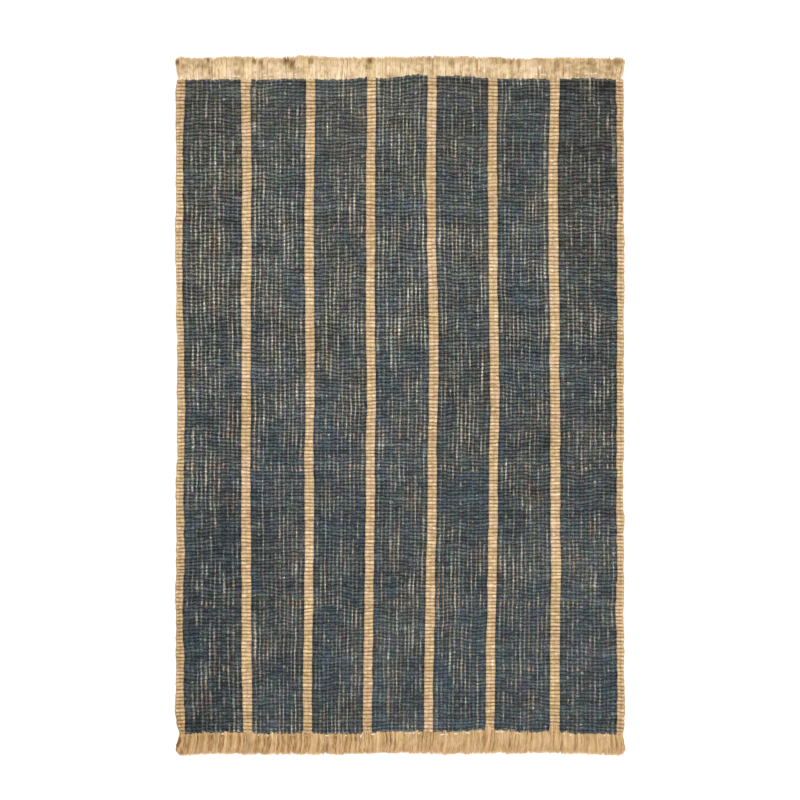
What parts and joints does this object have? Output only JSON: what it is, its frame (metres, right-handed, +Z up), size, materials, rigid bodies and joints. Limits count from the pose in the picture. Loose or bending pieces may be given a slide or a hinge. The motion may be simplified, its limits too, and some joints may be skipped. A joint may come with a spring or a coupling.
{
  "type": "jute rug",
  "caption": "Flat-woven rectangular jute rug with dark dyed panels, narrow undyed lengthwise stripes, raised cross ribs and a short brushed fringe at each end.",
  "frame": {"origin": "on the floor, under the middle of the whole rug with its fringes", "axes": "+Y along the rug towards its far short end, +X across it, +Z up from the floor to the ribbed face"},
  "size_m": [0.6034, 0.9374, 0.006],
  "materials": {
    "dyed_jute": "dry matt woven jute yarn, dyed dark blue-grey with undyed streaks",
    "natural_jute": "dry matt undyed jute, woven in the stripes and brushed in the fringe",
    "seam_thread": "pale cotton sewing thread"
  },
  "bodies": {
    "root": {"rug_cloth": "dyed_jute", "fringe_far": "natural_jute", "fringe_near": "natural_jute"}
  },
  "joints": []
}
